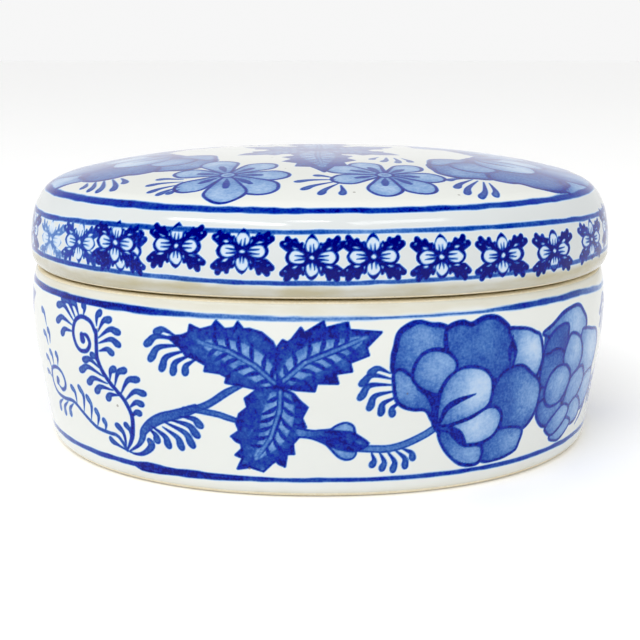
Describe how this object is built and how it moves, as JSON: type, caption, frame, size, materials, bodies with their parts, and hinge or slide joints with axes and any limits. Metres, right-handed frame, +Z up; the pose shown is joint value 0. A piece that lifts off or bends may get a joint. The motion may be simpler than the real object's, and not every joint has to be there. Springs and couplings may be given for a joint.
{
  "type": "porcelain trinket box",
  "caption": "Oval porcelain trinket box: a tapered base with a foot ring and an inner locating lip, and a domed lift-off lid, painted in cobalt blue.",
  "frame": {"origin": "middle of the foot's flat face, on the surface the box stands on", "axes": "+X along the oval's length, -Y out of the painted front, +Z up, the way the lid lifts"},
  "size_m": [0.121, 0.1028, 0.0579],
  "materials": {
    "glazed_porcelain_base": "gloss",
    "glazed_porcelain_lid": "gloss",
    "cobalt_painting": "gloss",
    "bare_porcelain": "matt"
  },
  "bodies": {
    "base": {"base": "glazed_porcelain_base"},
    "lid": {"lid": "glazed_porcelain_lid"}
  },
  "joints": [
    {"name": "lid_lift", "type": "slide", "parent": "base", "child": "lid", "axis": [0, 0, 1], "range_m": [0, 0.06]}
  ]
}
